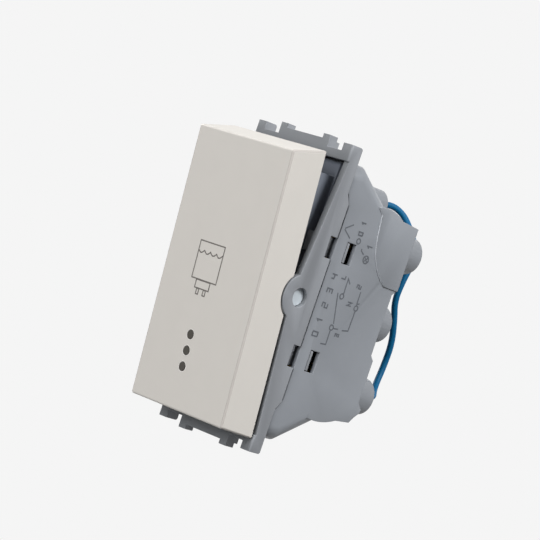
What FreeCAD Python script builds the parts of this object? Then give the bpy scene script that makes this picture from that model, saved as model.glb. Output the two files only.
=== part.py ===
import FreeCAD, Part
import Sketcher
import math
import os
import re

# One-module rocker switch with a lit-up indicator, for the supply of a water boiler.
# X runs right as seen from the front, Y runs rearward into the wall and Z runs up.
# The origin is the middle of the plane in which the carrier's rear face meets its mounting frame.
# All lengths are millimetres and all angles are degrees.

doc = FreeCAD.newDocument("BoilerSwitch")
sheet = doc.addObject("Spreadsheet::Sheet", "Sizes")

SIZES = [
    # Rocker key, measured from its pivot axis
    ("key_gap", 0.14, "narrower than the module, across the front face"),
    ("key_height", 44.78, "along the front face"),
    ("key_face", 9.41, "pivot axis to front face"),
    ("key_depth", 6.97, "front face to rear edge"),
    ("key_flare", 0.98, "how far each end face leans out by its rear edge"),
    ("key_plate", 1.5, "thickness behind the front face"),
    ("key_wall", 1.1, "thickness of the side and end walls"),
    ("key_tilt", 5.78, "lean of the key from upright in each of its two states"),
    ("key_edge", 0.35, "rounding of the outer edges"),
    ("cut_reach", 1.0, "how far a cut runs past the faces it opens"),
    ("rib_height", 1.2, "stiffening ribs behind the front face"),
    ("rib_width", 0.9, "thickness of those ribs"),
    ("rib_place", 5.2, "ribs from the centre line"),
    ("pivot_forward", 2.75, "pivot axis in front of the seat plane"),
    ("pivot_radius", 1.48, "pins on the key"),
    ("running_gap", 0.08, "radial clearance of pins, plunger and screws in their holes"),
    ("pin_recess", 0.8, "pin end below the outer face of its ear"),
    ("lug_wall", 1.0, "thickness of the lug that carries a pin"),
    ("lug_gap", 0.25, "lug to the inner face of the carrier wall"),
    ("lug_radius", 2.8, "round end of the lug"),
    # Indicator windows
    ("dot_radius", 0.8, "each of the three windows"),
    ("dot_pitch", 2.625, "from window to window"),
    ("dot_middle", 12.81, "middle window below the pivot, on the face"),
    ("dot_side", 0.95, "windows left of the centre line"),
    ("window_bar", 0.7, "bar behind the face that joins the windows"),
    ("slip_gap", 0.05, "clearance round pieces that are pushed into place"),
    # Carrier
    ("module_width", 22.5, "carrier and housing pitch"),
    ("frame_wall", 1.1, "side walls"),
    ("bar_front", 2.5, "thickness of the end bars, forward of the seat plane"),
    ("opening_half", 22.75, "half height of the opening"),
    ("bar_width", 1.45, "width of the plain end bars, beyond the opening"),
    ("strip_rise", 1.15, "raised strips, over the end bars"),
    ("corner_rise", 1.3, "corner blocks, over the end bars"),
    ("post_rise", 1.9, "clip posts, over the end bars"),
    ("post_inner", 4.2, "inner side of a clip post from the centre line"),
    ("post_outer", 5.8, "outer side of a clip post"),
    ("post_depth", 1.8, "depth of a clip post"),
    ("corner_inner", 9.16, "inner side of a corner block"),
    ("frame_edge", 0.42, "rounding of the corner blocks"),
    ("wall_front_middle", 4.6, "front edge of the side walls at mid height"),
    ("wall_front_end", 2.05, "front edge of the side walls at the end bars"),
    ("ear_radius", 3.66, "ear round the pivot"),
    ("ear_gap", 0.35, "ear to the arch in the key"),
    ("seam_back", 0.92, "rear edge of the side walls"),
    ("seam_half", 16.5, "half height of that rear edge"),
    ("seam_step_half", 18.04, "half height where it has stepped to the seat plane"),
    ("seam_gap", 0.45, "open seam between carrier and housing"),
    ("latch_inner", 7.3, "window from mid height, near side"),
    ("latch_outer", 10.85, "window from mid height, far side"),
    ("latch_gap", 0.15, "tongue to the sides of its window and to the wall"),
    ("tongue_wall", 1.0, "thickness of a latch tongue"),
    ("notch_front", 0.54, "notch in the side wall, forward of the seat plane"),
    ("tongue_root", 3.2, "root of a tongue, forward of the seat plane"),
    ("window_front", 3.75, "front side of a latch window"),
    ("window_rear", 5.9, "rear side of a latch window, outside"),
    ("window_draft", 0.15, "slant of that side through the wall"),
    ("tooth_flat", 0.5, "flat top of the tooth"),
    ("tooth_lead", 0.35, "sloped end of the tongue behind the tooth"),
    ("tooth_recess", 0.05, "tooth below the housing's side"),
    ("ledge_half_width", 4.0, "ledges that hold the cover back"),
    ("ledge_depth", 0.9, "thickness of those ledges"),
    # Rear housing
    ("housing_step", 0.25, "its sides, inside the sides of the carrier"),
    ("panel_rise", 0.2, "raised panel on each side"),
    ("housing_wall", 1.2, "walls"),
    ("channel_depth", 0.5, "channel in the wall for each latch tongue"),
    ("channel_run", 1.2, "end of that channel behind the latch window"),
    ("rear_wall", 1.3, "rear wall"),
    ("rim_cover", 0.25, "its front rim, beyond the opening of the carrier"),
    ("rim_depth", 3.4, "depth of the square rim"),
    ("slope_depth", 11.3, "rear end of the slopes"),
    ("slope_half", 17.9, "half height there"),
    ("shoulder_depth", 7.9, "front of the terminal block"),
    ("shoulder_half", 17.9, "half height there"),
    ("waist_depth", 14.3, "rear end of the rounded ends"),
    ("waist_half", 17.05, "half height there"),
    ("end_crown", 8.7, "radius of the rounded upper end"),
    ("lower_crown", 11.8, "radius of the rounded lower end"),
    ("hollow_shift", 0.55, "inner ends of the slopes, forward of their outer ends"),
    ("panel_front", 9.15, "side panel, bend below its upper front corner"),
    ("panel_top", 16.9, "side panel, height of that bend"),
    ("panel_bend_depth", 9.6, "side panel, front end of its curved edge"),
    ("panel_bend_height", 14.0, "side panel, upper end of its curved edge"),
    ("panel_bend_rear", 14.9, "side panel, rear end of its curved edge"),
    ("panel_bend", 10.2, "side panel, radius of its curved edge"),
    ("panel_inset", 0.06, "side panel below the housing's outline"),
    ("partition_front", 13.7, "front end of the ribs between the terminals"),
    ("partition_half", 0.4, "half thickness of those ribs"),
    ("block_half", 16.75, "half height at the rear face"),
    ("rear_depth", 17.45, "rear face"),
    ("raised_depth", 18.25, "rear face of the raised parts"),
    ("raised_low", 6.0, "raised parts, from mid height"),
    ("foot_low", 15.7, "ridge below the lowest barrels, lower end"),
    ("foot_high", 13.2, "ridge below the lowest barrels, upper end"),
    ("foot_rise", 1.0, "height of that ridge"),
    ("slope_round", 2.6, "rounding where the rim and the slopes meet the sides"),
    # Terminals
    ("row_pitch", 12.25, "from terminal to terminal"),
    ("collar_inset", 5.0, "middle of the wire entries from the right side"),
    ("well_inset", 6.1, "middle of the screw wells from the left side"),
    ("collar_radius", 3.1, "outside of the wire entries and screw wells"),
    ("collar_bore", 2.1, "radius of a wire entry"),
    ("barrel_end", 23.45, "rear end of the barrels"),
    ("collar_drop", 1.6, "middle wire entry shorter than the others"),
    ("gland_height", 18.7, "lead outlet above mid height"),
    ("gland_radius", 2.9, "outside of the lead outlet"),
    ("gland_bore", 0.75, "hole for the lead"),
    ("screw_radius", 1.75, "terminal screw"),
    ("screw_head", 2.35, "radius of its head"),
    ("screw_head_height", 1.8, "height of its head"),
    ("screw_tip", 10.6, "front end of the screw"),
    ("slot_width", 0.7, "slot across the screw head"),
    ("slot_depth", 0.9, "depth of that slot"),
    ("well_gap", 0.35, "screw head to the wall of its well"),
    ("strip_metal", 0.8, "thickness of the brass strip"),
    ("cage_front", 11.3, "front face of the terminal cages"),
    ("cage_half", 2.9, "half height of a cage"),
    ("shoe_half", 1.9, "half height of a clamp shoe"),
    ("shoe_depth", 2.0, "thickness of a clamp shoe"),
    ("shoe_nose", 0.1, "nose of the shoe, past the middle of the wire entry"),
    ("shoe_taper", 1.7, "slant of the nose"),
    ("shoe_stroke", 1.7, "travel of a shoe as its screw is turned"),
    ("seat_gap", 0.2, "clearance of the terminals in the housing"),
    # Contacts
    ("contact_pivot", 9.6, "ridge on which the contact rocks"),
    ("contact_tilt", 8.0, "lean of the contact in each state"),
    ("contact_half_width", 2.3, "rocking contact"),
    ("contact_half_length", 8.7, "rocking contact"),
    ("contact_lift", 0.35, "rocking contact behind its pivot axis"),
    ("ridge_radius", 0.3, "rounded ridge on which the contact rocks"),
    ("cheek_height", 1.3, "cheeks that guide the plunger"),
    ("cheek_half_length", 2.2, "cheeks along the contact"),
    ("cheek_wall", 0.6, "thickness of the cheeks"),
    ("rivet_place", 7.2, "contact rivets above the pivot"),
    ("rivet_radius", 1.3, "heads of the contact rivets"),
    ("rivet_height", 0.7, "height of those heads"),
    ("rivet_shank", 0.6, "shank of the contact rivets"),
    ("contact_rest_gap", 0.1, "between the closed rivets, so that they stand clear"),
    ("ridge_half", 0.9, "half width of the ridge's foot"),
    # Plunger
    ("post_radius", 2.5, "hollow post on the key"),
    ("post_bore", 1.6, "its bore"),
    ("post_end", 0.6, "post behind the pivot axis"),
    ("post_floor", 0.9, "solid floor of the post's bore, behind the plate"),
    ("plunger_head_length", 2.7, "guided head of the plunger"),
    ("plunger_rod", 1.1, "radius of the rod"),
    ("plunger_reach", 11.15, "round end of the rod behind the pivot axis"),
    ("spring_play", 0.3, "spring to the plunger's head, which moves in by less"),
    ("spring_radius", 1.35, "outside of the coil spring"),
    ("spring_wall", 0.35, "its wire"),
    # Inner cover
    ("cover_gap", 0.35, "its flange to the latch tongues"),
    ("cover_half_height", 19.9, "box of the cover"),
    ("cover_front", 4.2, "its deck, forward of the seat plane"),
    ("cover_wall", 1.0, "walls of the cover"),
    ("cover_back", 1.55, "rear edge of its walls"),
    ("flange_side", 0.3, "flange beyond the side walls"),
    ("flange_gap", 0.35, "gap between the flange and the ends of the opening"),
    ("flange_wall", 0.85, "thickness of the flange"),
    ("post_slot_side", 3.1, "hole for the post, half width"),
    ("post_slot_high", 3.4, "hole for the post, half height"),
    # Indicator
    ("guide_half_width", 1.3, "light guide"),
    ("guide_half_height", 3.5, "light guide"),
    ("guide_front", 7.6, "light guide, forward of the seat plane"),
    ("guide_flange", 0.6, "flange of the light guide"),
    ("board_wall", 0.8, "circuit board"),
    ("board_inset", 3.4, "circuit board, left edge from the side of the housing"),
    ("board_right", 3.4, "circuit board, right edge of its narrow part"),
    ("board_foot_right", 1.6, "circuit board, right edge of its foot"),
    ("board_top", 19.2, "circuit board"),
    ("board_bottom", 16.4, "circuit board"),
    ("board_step", 9.3, "top of the foot"),
    ("lamp_radius", 1.5, "lamp"),
    ("lamp_length", 3.4, "lamp"),
    ("lamp_rim", 0.3, "rim at the foot of the lamp"),
    ("resistor_radius", 0.9, "series resistor"),
    ("resistor_half", 2.1, "half length of its body"),
    ("resistor_wire", 0.25, "its wires"),
    ("resistor_middle", 2.0, "above mid height"),
    ("leaf_wall", 0.3, "contact leaf from the board to the load terminal"),
    ("leaf_width", 2.0, "contact leaf"),
    # Neutral lead
    ("lead_diameter", 1.1, "over its insulation"),
    ("lead_inset", 1.4, "how deep the free lead starts inside each barrel"),
    ("ferrule_radius", 0.9, "end sleeve in the neutral terminal"),
    ("ferrule_collar", 1.05, "radius of its insulated collar"),
]

for row, (word, number, note) in enumerate(SIZES, start=1):
    sheet.set(f"A{row}", word)
    sheet.set(f"B{row}", str(number))
    sheet.setAlias(f"B{row}", word)
    sheet.set(f"C{row}", note)
doc.recompute()

# Sizes that follow from the ones in the sheet
FOLLOWING = {
    "key_width": "module_width - key_gap",
    "housing_half_width": "module_width / 2 - housing_step",
    "tongue_inner": "housing_half_width - housing_wall - latch_gap - tongue_wall",
    "cover_half_width": "tongue_inner - cover_gap - flange_side",
    "collar_place": "housing_half_width - collar_inset",
    "well_place": "housing_half_width - well_inset",
    "shoe_reach": "collar_place + shoe_nose",
    "board_left": "housing_half_width - board_inset",
    "bar_half": "opening_half + bar_width",
    "strip_half": "bar_half + strip_rise",
    "corner_half": "bar_half + corner_rise",
    "post_half": "bar_half + post_rise",
    "flange_half": "opening_half - flange_gap",
    "rim_half": "opening_half + rim_cover",
}

WORDS = re.compile(r"\b(" + "|".join(word for word, number, note in SIZES) + r")\b")
FOLLOWING_WORDS = re.compile(r"\b(" + "|".join(FOLLOWING) + r")\b")


def spelt_out(text):
    """The expression with every following size written out in sizes of the sheet."""
    return FOLLOWING_WORDS.sub(lambda found: f"({spelt_out(FOLLOWING[found.group()])})", text)


def bound(text):
    """The expression that reads the sheet: every size word gets the sheet's name in front."""
    return WORDS.sub(r"Sizes.\1", spelt_out(text))


def value(text):
    """What an expression in size words comes to now."""
    result = sheet.evalExpression(bound(text))
    return float(getattr(result, "Value", result))


# Axis along which each origin plane is extruded, and whether its sketch looks the other way
PLANES = {"XY_Plane": 1, "YZ_Plane": 1, "XZ_Plane": -1}


def new_body(name):
    body = doc.addObject("PartDesign::Body", name)
    body.Label = name
    return body


def origin_plane(body, role):
    return [feature for feature in body.Origin.OriginFeatures if feature.Role == role][0]


def fix_point(sketch, element, end, place):
    """Ties one end of a sketch element to a place given by two expressions."""
    for kind, text in zip(("DistanceX", "DistanceY"), place):
        number = sketch.addConstraint(Sketcher.Constraint(kind, -1, 1, element, end, value(text)))
        sketch.setExpression(f"Constraints[{number}]", bound(text))


def draw_circle(sketch, across, up, radius):
    centre = FreeCAD.Vector(value(across), value(up), 0)
    element = sketch.addGeometry(Part.Circle(centre, FreeCAD.Vector(0, 0, 1), value(radius)))
    fix_point(sketch, element, 3, (across, up))
    number = sketch.addConstraint(Sketcher.Constraint("Radius", element, value(radius)))
    sketch.setExpression(f"Constraints[{number}]", bound(radius))


def arc_between(start, end, radius, side):
    """Arc of a given radius between two points, bulging to the left (1) or right (-1) of the way."""
    along = end - start
    half = along.Length / 2
    left = FreeCAD.Vector(-along.y, along.x, 0).normalize()
    centre = (start + end) / 2 - left * side * math.sqrt(radius ** 2 - half ** 2)
    first, last = (end, start) if side > 0 else (start, end)
    angles = [math.atan2(point.y - centre.y, point.x - centre.x) for point in (first, last)]
    circle = Part.Circle(centre, FreeCAD.Vector(0, 0, 1), radius)
    return Part.ArcOfCircle(circle, angles[0], angles[1])


def draw_outline(sketch, corners):
    """Closes a ring of lines through corners. A third and fourth entry make the next side an arc."""
    first = sketch.GeometryCount
    places = [FreeCAD.Vector(value(corner[0]), value(corner[1]), 0) for corner in corners]
    count = len(corners)
    ends = []
    for index, corner in enumerate(corners):
        start, end = places[index], places[(index + 1) % count]
        if len(corner) == 2:
            sketch.addGeometry(Part.LineSegment(start, end))
            ends.append((1, 2))
            continue
        arc = arc_between(start, end, value(corner[2]), corner[3])
        element = sketch.addGeometry(arc)
        ends.append((2, 1) if corner[3] > 0 else (1, 2))
        number = sketch.addConstraint(Sketcher.Constraint("Radius", element, value(corner[2])))
        sketch.setExpression(f"Constraints[{number}]", bound(corner[2]))
    for index, corner in enumerate(corners):
        following = (index + 1) % count
        joint = (first + index, ends[index][1], first + following, ends[following][0])
        sketch.addConstraint(Sketcher.Constraint("Coincident", *joint))
        fix_point(sketch, first + index, ends[index][0], corner[:2])


def rectangle(left, right, low, high):
    return [(left, low), (right, low), (right, high), (left, high)]


def draw(sketch, shapes):
    for shape in shapes:
        if isinstance(shape, tuple):
            draw_circle(sketch, *shape)
        else:
            draw_outline(sketch, shape)


def extrude(body, name, plane, start, end, shapes, cut=False):
    """Adds or cuts outlines between two distances along the axis square to an origin plane."""
    sketch = body.newObject("Sketcher::SketchObject", name + "_sketch")
    sketch.AttachmentSupport = [(origin_plane(body, plane), "")]
    sketch.MapMode = "FlatFace"
    facing = PLANES[plane]
    sketch.setExpression("AttachmentOffset.Base.z", bound(f"{facing} * ({start})"))
    draw(sketch, shapes)
    feature = body.newObject("PartDesign::Pocket" if cut else "PartDesign::Pad", name)
    feature.Profile = sketch
    feature.setExpression("Length", bound(f"({end}) - ({start})"))
    feature.Reversed = (facing == 1) == cut
    sketch.Visibility = False
    doc.recompute()
    return feature


def mirror(body, name, features, plane):
    """Repeats features of a body on the other side of an origin plane."""
    feature = body.newObject("PartDesign::Mirrored", name)
    feature.Originals = features
    feature.MirrorPlane = (origin_plane(body, plane), [""])
    body.Tip = feature
    doc.recompute()
    return feature


def round_edges(body, name, radius, wanted, bevel=False):
    """Rounds, or bevels, the edges of a body that a test on the edge picks."""
    base = body.Tip
    doc.recompute()
    picked = [f"Edge{n}" for n, edge in enumerate(base.Shape.Edges, start=1) if wanted(edge)]
    feature = body.newObject("PartDesign::Chamfer" if bevel else "PartDesign::Fillet", name)
    feature.Base = (base, picked)
    feature.setExpression("Size" if bevel else "Radius", bound(radius))
    doc.recompute()
    return feature


def near(number, text):
    return abs(number - value(text)) < 0.01


def runs_along(edge, axis):
    """Whether an edge is a straight line along an axis."""
    if not isinstance(edge.Curve, (Part.Line, Part.LineSegment)):
        return False
    way = edge.Vertexes[-1].Point - edge.Vertexes[0].Point
    return abs(abs(way.dot(axis)) - way.Length) < 0.001 * way.Length


ACROSS = FreeCAD.Vector(1, 0, 0)
REARWARD = FreeCAD.Vector(0, 1, 0)
UPWARD = FreeCAD.Vector(0, 0, 1)


def hang_on_key(body):
    """Puts a piece that is drawn about the pivot axis where the tilted key holds it."""
    body.Placement.Rotation = FreeCAD.Rotation(ACROSS, value("key_tilt"))
    body.setExpression("Placement.Base.y", bound("-pivot_forward"))
    body.setExpression("Placement.Rotation.Angle", bound("key_tilt"))


# Rocker key
# A white shell, open behind, whose end faces lean out towards the rear. Two lugs carry the pins
# on which it rocks, and a hollow post behind its middle holds the spring and the plunger.
def make_key():
    body = new_body("rocker_key")
    half = "key_width / 2"
    front = "-key_face"
    rear = "-key_face + key_depth"
    low = "-key_height / 2"
    high = "key_height / 2"
    side = [(front, low), (rear, f"{low} - key_flare"), (rear, f"{high} + key_flare"), (front, high)]
    extrude(body, "key_block", "YZ_Plane", f"-{half}", half, [side])
    outer = lambda edge: not (near(edge.BoundBox.YMin, rear) and near(edge.BoundBox.YMax, rear))
    round_edges(body, "key_rounding", "key_edge", outer)
    behind = "-key_face + key_plate"
    hollow = [
        (behind, f"{low} + key_wall"),
        (f"{rear} + key_wall", f"{low} + key_wall - key_flare"),
        (f"{rear} + key_wall", f"{high} - key_wall + key_flare"),
        (behind, f"{high} - key_wall"),
    ]
    inside = f"({half} - key_wall)"
    extrude(body, "key_hollow", "YZ_Plane", f"-{inside}", inside, [hollow], cut=True)
    arch = ("0", "0", "ear_radius + ear_gap")
    across = f"({half} + cut_reach)"
    extrude(body, "key_arch", "YZ_Plane", f"-{across}", across, [arch], cut=True)
    ribs = [
        rectangle("rib_place", "rib_place + rib_width", f"{low} + key_wall", f"{high} - key_wall"),
        rectangle("-rib_place - rib_width", "-rib_place", f"{low} + key_wall", f"{high} - key_wall"),
    ]
    extrude(body, "key_ribs", "XZ_Plane", f"{behind} - slip_gap", f"{behind} + rib_height", ribs)
    post = ("0", "0", "post_radius")
    extrude(body, "key_post", "XZ_Plane", f"{behind} - slip_gap", "post_end", [post])
    bore = ("0", "0", "post_bore")
    floor = f"{behind} + post_floor"
    extrude(body, "key_post_bore", "XZ_Plane", floor, "post_end + cut_reach", [bore], cut=True)
    outside = "(module_width / 2 - frame_wall - lug_gap)"
    round_end = ("0", "0", "lug_radius")
    stem = rectangle(f"{behind} - slip_gap", "0", "-lug_radius", "lug_radius")
    lug = [
        extrude(body, "key_lug_end", "YZ_Plane", f"{outside} - lug_wall", outside, [round_end]),
        extrude(body, "key_lug_stem", "YZ_Plane", f"{outside} - lug_wall", outside, [stem]),
    ]
    pin_end = "module_width / 2 - pin_recess"
    pin_round = ("0", "0", "pivot_radius")
    pin = extrude(body, "key_pin", "YZ_Plane", f"{outside} - slip_gap", pin_end, [pin_round])
    mirror(body, "key_other_lug", [*lug, pin], "YZ_Plane")
    holes = [("-dot_side", f"-dot_middle + {step} * dot_pitch", "dot_radius") for step in (-1, 0, 1)]
    before = f"{front} - cut_reach"
    extrude(body, "key_windows", "XZ_Plane", before, f"{behind} + slip_gap", holes, cut=True)
    hang_on_key(body)
    return body


# Indicator windows
# One smoked clear moulding: three studs that fill the round holes in the key, on a common bar.
def make_windows():
    body = new_body("indicator_windows")
    studs = [
        ("-dot_side", f"-dot_middle + {step} * dot_pitch", "dot_radius - slip_gap") for step in (-1, 0, 1)
    ]
    behind = "-key_face + key_plate"
    extrude(body, "window_studs", "XZ_Plane", "-key_face", behind, studs)
    bar = rectangle(
        "-dot_side - dot_radius - window_bar",
        "-dot_side + dot_radius + window_bar",
        "-dot_middle - dot_pitch - dot_radius - window_bar",
        "-dot_middle + dot_pitch + dot_radius + window_bar",
    )
    extrude(body, "window_back", "XZ_Plane", behind, f"{behind} + window_bar", [bar])
    hang_on_key(body)
    return body


# Carrier
# The grey front ring that snaps into the mounting frame. Its side walls slant back from the
# middle so that the key can rock, and swell into ears round the pivots. Clip posts and corner
# blocks stand on its end bars. Four tongues reach back into windows in the housing.
def make_carrier():
    body = new_body("carrier_frame")
    half = "module_width / 2"
    profile = [
        ("-wall_front_middle", "0"),
        ("-wall_front_end", "-opening_half"),
        ("-bar_front", "-opening_half"),
        ("-bar_front", "-bar_half"),
        ("0", "-bar_half"),
        ("0", "-seam_step_half"),
        ("seam_back", "-seam_half"),
        ("seam_back", "seam_half"),
        ("0", "seam_step_half"),
        ("0", "bar_half"),
        ("-bar_front", "bar_half"),
        ("-bar_front", "opening_half"),
        ("-wall_front_end", "opening_half"),
    ]
    extrude(body, "ring", "YZ_Plane", f"-{half}", half, [profile])
    extrude(body, "ears", "YZ_Plane", f"-{half}", half, [("-pivot_forward", "0", "ear_radius")])
    inner = "(module_width / 2 - frame_wall)"
    opening = rectangle(f"-{inner}", inner, "-opening_half", "opening_half")
    reach = "pivot_forward + ear_radius + cut_reach"
    extrude(body, "opening", "XZ_Plane", f"-({reach})", "seam_back + cut_reach", [opening], cut=True)
    hole = ("-pivot_forward", "0", "pivot_radius + running_gap")
    across = f"({half} + cut_reach)"
    extrude(body, "pivot_holes", "YZ_Plane", f"-{across}", across, [hole], cut=True)
    strip = extrude(
        body, "strip", "XZ_Plane", "-bar_front", "0",
        [rectangle("-post_outer", "post_outer", "bar_half - slip_gap", "strip_half")],
    )
    posts = extrude(
        body, "posts", "XZ_Plane", "-bar_front", "-bar_front + post_depth",
        [
            rectangle("post_inner", "post_outer", "bar_half", "post_half"),
            rectangle("-post_outer", "-post_inner", "bar_half", "post_half"),
        ],
    )
    corners = extrude(
        body, "corners", "XZ_Plane", "-bar_front", "0",
        [
            rectangle("corner_inner", half, "bar_half - slip_gap", "corner_half"),
            rectangle(f"-{half}", "-corner_inner", "bar_half - slip_gap", "corner_half"),
        ],
    )
    wide = "ledge_half_width"
    bearing = "-flange_wall - slip_gap"
    ledge = extrude(
        body, "ledge", "XZ_Plane", f"{bearing} - ledge_depth", bearing,
        [rectangle(f"-{wide}", wide, "flange_half - ledge_depth", "bar_half - slip_gap")],
    )
    mirror(body, "other_end", [strip, posts, corners, ledge], "XY_Plane")

    # Latch tongues, their teeth and the notches through which their teeth are moulded
    near_side = "latch_inner + latch_gap"
    far_side = "latch_outer - latch_gap"
    outside = "(housing_half_width - housing_wall - latch_gap)"
    tooth_top = "housing_half_width - tooth_recess"
    bearing = "window_front + latch_gap"
    tongue = [
        (f"{inner} + slip_gap", "-tongue_root"),
        (f"{inner} + slip_gap", "-notch_front - tongue_wall"),
        (outside, "-notch_front"),
        (outside, bearing),
        (tooth_top, bearing),
        (tooth_top, f"{bearing} + tooth_flat"),
        (f"{outside} - tongue_wall", f"{bearing} + tooth_flat + tooth_lead"),
        (f"{outside} - tongue_wall", "-tongue_root"),
    ]
    right = extrude(body, "tongue", "XY_Plane", near_side, far_side, [tongue])
    notch = rectangle(outside, f"{half} + cut_reach", "-notch_front", "seam_back + cut_reach")
    gap = extrude(body, "notch", "XY_Plane", "latch_inner", "latch_outer", [notch], cut=True)
    mirror(body, "lower_latches", [right, gap], "XY_Plane")
    left_tongue = extrude(
        body, "left_tongue", "XY_Plane", near_side, far_side,
        [[(f"-({across})", back) for across, back in tongue]],
    )
    far = f"-{half} - cut_reach"
    left_notch = rectangle(far, f"-{outside}", "-notch_front", "seam_back + cut_reach")
    reach = ("latch_inner", "latch_outer")
    left_gap = extrude(body, "left_notch", "XY_Plane", *reach, [left_notch], cut=True)
    mirror(body, "left_lower_latches", [left_tongue, left_gap], "XY_Plane")

    def corner_edge(edge):
        middle = edge.CenterOfMass
        high = abs(middle.z) > value("opening_half + slip_gap")
        outer_edge = runs_along(edge, UPWARD) and near(abs(middle.x), half) and middle.y < 0
        top = near(abs(middle.z), "corner_half")
        top_edge = runs_along(edge, ACROSS) and top and near(middle.y, "0")
        return high and (outer_edge or top_edge)

    round_edges(body, "frame_rounding", "frame_edge", corner_edge)
    return body


# Rear housing
# The grey shell behind the wall. Its ends slope in from the rim to a terminal block with gently
# rounded ends, a panel stands proud of each side, and barrels for the wires, the screws and the
# neutral lead stand on its rear.
def rows():
    """Height of each terminal, from the load terminal down to the neutral one."""
    return [("load", "row_pitch"), ("line", "0"), ("neutral", "-row_pitch")]


def make_housing():
    body = new_body("rear_housing")
    half = "housing_half_width"
    rim = "seam_back + seam_gap"
    front = [
        (rim, "seam_half - seam_gap"),
        ("seam_gap", "seam_step_half"),
        ("0", "seam_step_half"),
        ("0", "rim_half"),
        ("rim_depth", "rim_half"),
        ("slope_depth", "slope_half"),
    ]
    mirrored = [(depth, f"-({height})") for depth, height in reversed(front)]
    extrude(body, "front_shell", "YZ_Plane", f"-{half}", half, [front + mirrored])

    def side_edge(edge):
        middle = edge.CenterOfMass
        outer = near(abs(middle.x), half) and abs(middle.z) > value("slope_half")
        return outer and middle.y > value("seam_gap") and not runs_along(edge, UPWARD)

    round_edges(body, "side_rounding", "slope_round", side_edge)
    rise = "(raised_depth - rear_depth)"
    block = [
        ("shoulder_depth", "shoulder_half", "end_crown", 1),
        ("waist_depth", "waist_half"),
        ("raised_depth", "block_half"),
        ("raised_depth", "raised_low"),
        ("rear_depth", f"raised_low - {rise}"),
        ("rear_depth", f"-raised_low + {rise}"),
        ("raised_depth", "-raised_low"),
        ("raised_depth", "-foot_high"),
        ("raised_depth + foot_rise", "-foot_high - foot_rise"),
        ("raised_depth + foot_rise", "-foot_low + foot_rise"),
        ("raised_depth", "-foot_low"),
        ("rear_depth", "-block_half"),
        ("waist_depth", "-waist_half", "lower_crown", 1),
        ("shoulder_depth", "-shoulder_half"),
    ]
    extrude(body, "terminal_block", "YZ_Plane", f"-{half}", half, [block])
    panel = [
        ("shoulder_depth + panel_inset", "shoulder_half - panel_inset"),
        ("panel_front", "panel_top"),
        ("panel_bend_depth", "panel_bend_height", "panel_bend", -1),
        ("panel_bend_rear", "raised_low"),
        ("raised_depth", "raised_low"),
        ("raised_depth", "block_half - panel_inset"),
        ("waist_depth", "waist_half - panel_inset", "end_crown", -1),
    ]
    proud = f"({half} + panel_rise)"
    extrude(body, "side_panels", "YZ_Plane", f"-{proud}", proud, [panel])
    barrels = [("collar_place", place, "collar_radius") for name, place in rows() if name != "line"]
    barrels += [("-well_place", place, "collar_radius") for name, place in rows()]
    extrude(body, "barrels", "XZ_Plane", "rear_depth - rear_wall", "barrel_end", barrels)
    middle = [("collar_place", "0", "collar_radius")]
    extrude(body, "short_barrel", "XZ_Plane", "rear_depth - rear_wall", "barrel_end - collar_drop", middle)
    outlet = [("-well_place", "gland_height", "gland_radius")]
    extrude(body, "lead_outlet", "XZ_Plane", "rim_depth + cut_reach", "barrel_end", outlet)

    # Hollow inside, open to the front
    inner = f"({half} - housing_wall)"
    back = "rear_depth - rear_wall"
    depths = ["-cut_reach", "rim_depth - hollow_shift", "slope_depth - hollow_shift", back]
    heights = ["rim_half", "rim_half", "slope_half", "block_half"]
    upper_side = [(depth, f"{height} - housing_wall") for depth, height in zip(depths, heights)]
    lower_side = [(depth, f"-({height})") for depth, height in reversed(upper_side)]
    hollow = upper_side + lower_side
    extrude(body, "hollow", "YZ_Plane", f"-{inner}", inner, [hollow], cut=True)
    ribs = [
        rectangle(
            f"-{inner} - slip_gap",
            f"{inner} + slip_gap",
            f"{side} * row_pitch / 2 - partition_half",
            f"{side} * row_pitch / 2 + partition_half",
        )
        for side in (-1, 1)
    ]
    extrude(body, "partitions", "XZ_Plane", "partition_front", f"{back} + slip_gap", ribs)

    # Wire entries, screw wells with their shank holes, and the hole for the lead
    entries = [("collar_place", place, "collar_bore") for name, place in rows()]
    inside_face = f"{back} - cut_reach"
    extrude(body, "wire_entries", "XZ_Plane", inside_face, "barrel_end + cut_reach", entries, cut=True)
    wells = [("-well_place", place, "screw_head + well_gap") for name, place in rows()]
    extrude(body, "screw_wells", "XZ_Plane", "rear_depth", "barrel_end + cut_reach", wells, cut=True)
    shanks = [("-well_place", place, "screw_radius + running_gap") for name, place in rows()]
    extrude(body, "shank_holes", "XZ_Plane", inside_face, "rear_depth + cut_reach", shanks, cut=True)
    lead_hole = [("-well_place", "gland_height", "gland_bore")]
    extrude(body, "lead_hole", "XZ_Plane", "0", "barrel_end + cut_reach", lead_hole, cut=True)

    # Latch windows, each at the end of a channel that guides its tongue
    for side, name in ((1, "right"), (-1, "left")):
        channel = [
            (f"{side} * ({inner} - cut_reach)", "-cut_reach"),
            (f"{side} * ({inner} + channel_depth)", "-cut_reach"),
            (f"{side} * ({inner} + channel_depth)", "window_rear + channel_run"),
            (f"{side} * ({inner} - cut_reach)", "window_rear + channel_run"),
        ]
        window = [
            (f"{side} * ({inner} - cut_reach)", "window_front"),
            (f"{side} * ({half} + cut_reach)", "window_front"),
            (f"{side} * ({half} + cut_reach)", "window_rear"),
            (f"{side} * {half}", "window_rear"),
            (f"{side} * {inner}", "window_rear - window_draft"),
            (f"{side} * ({inner} - cut_reach)", "window_rear - window_draft"),
        ]
        reach = ("latch_inner", "latch_outer")
        guide = extrude(body, f"{name}_channel", "XY_Plane", *reach, [channel], cut=True)
        hole = extrude(body, f"{name}_window", "XY_Plane", *reach, [window], cut=True)
        mirror(body, f"{name}_lower_window", [guide, hole], "XY_Plane")
    return body


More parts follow.
